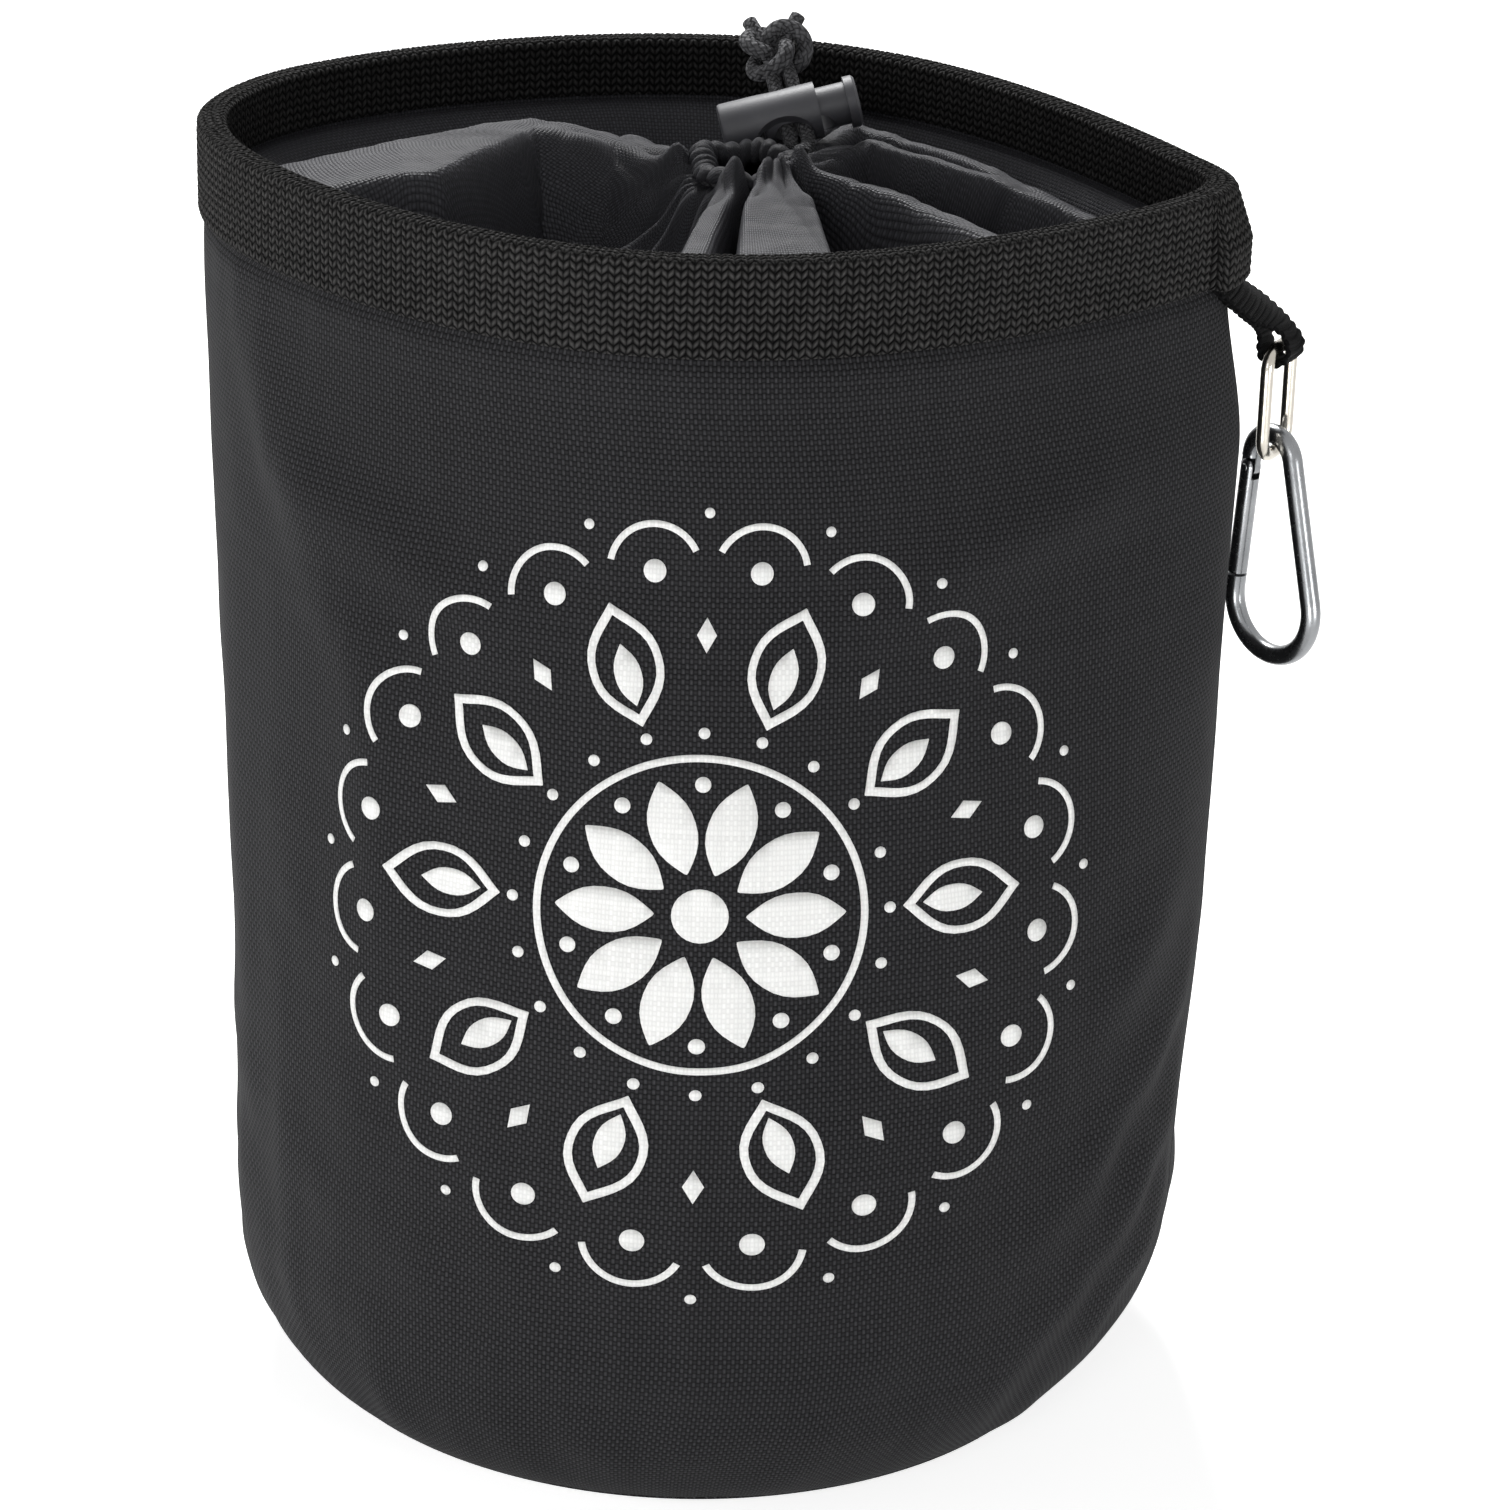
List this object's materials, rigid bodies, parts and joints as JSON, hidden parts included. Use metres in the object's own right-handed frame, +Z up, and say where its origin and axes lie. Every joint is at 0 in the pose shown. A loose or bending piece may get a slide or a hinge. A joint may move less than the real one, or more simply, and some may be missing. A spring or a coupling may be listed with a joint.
{
  "type": "peg bag",
  "caption": "Round-based cloth peg bag with a bound rim, a gathered drawstring collar with a cord lock, and a spring hook on a side tab.",
  "frame": {"origin": "centre of the round base, on the ground the bag stands on", "axes": "+Z up, +X towards the side seam and its hook, -Y towards the printed front"},
  "size_m": [0.2247, 0.1951, 0.2729],
  "materials": {
    "oxford_cloth": "matt charcoal plain weave with a white print on the front",
    "nylon": "thin, slightly shiny fine rib",
    "webbing": "matt ribbed",
    "seam_tape": "matt",
    "cord": "matt braid with grey flecks",
    "lock_plastic": "satin",
    "nickel": "bright nickel plate",
    "steel": "polished"
  },
  "bodies": {
    "bag": {"body_panel": "oxford_cloth", "base_panel": "oxford_cloth", "side_seam_tape": "seam_tape", "base_seam_tape": "seam_tape", "rim_binding": "webbing", "collar": "nylon", "drawstring_loop": "cord", "drawstring_tail_left": "cord", "drawstring_tail_right": "cord", "drawstring_knot": "cord", "hanger_tab": "webbing"},
    "link": {"oval_link": "nickel"},
    "hook": {"carabiner_body": "steel", "gate_pivot_pin": "steel"},
    "gate": {"carabiner_gate": "steel", "gate_spring": "steel"},
    "lock": {"cord_lock_barrel": "lock_plastic", "cord_lock_spring": "steel"},
    "plunger": {"cord_lock_plunger": "lock_plastic"}
  },
  "joints": [
    {"name": "link_swing", "type": "hinge", "parent": "bag", "child": "link", "pos_m": [0.10791, 0.01, 0.2225], "axis": [-0.309, -0.9511, 0], "range_deg": [0, 115]},
    {"name": "hook_swing", "type": "hinge", "parent": "link", "child": "hook", "pos_m": [0.10791, 0.01, 0.2009], "axis": [-0.6293, -0.7771, 0], "range_deg": [0, 85]},
    {"name": "gate_open", "type": "hinge", "parent": "hook", "child": "gate", "pos_m": [0.10339, 0.01366, 0.19636], "axis": [-0.6293, -0.7771, 0], "range_deg": [0, 26], "stiffness_Nm_per_rad": 0.06, "springref_deg": -28.65, "deforming": ["gate_spring"]},
    {"name": "lock_slide", "type": "slide", "parent": "bag", "child": "lock", "axis": [-0.3712, 0.7635, 0.5285], "range_m": [0, 0.005]},
    {"name": "plunger_press", "type": "slide", "parent": "lock", "child": "plunger", "axis": [-0.9279, -0.2837, -0.2419], "range_m": [0, 0.0035], "stiffness_N_per_m": 700, "springref_m": -0.006, "deforming": ["cord_lock_spring"]}
  ]
}
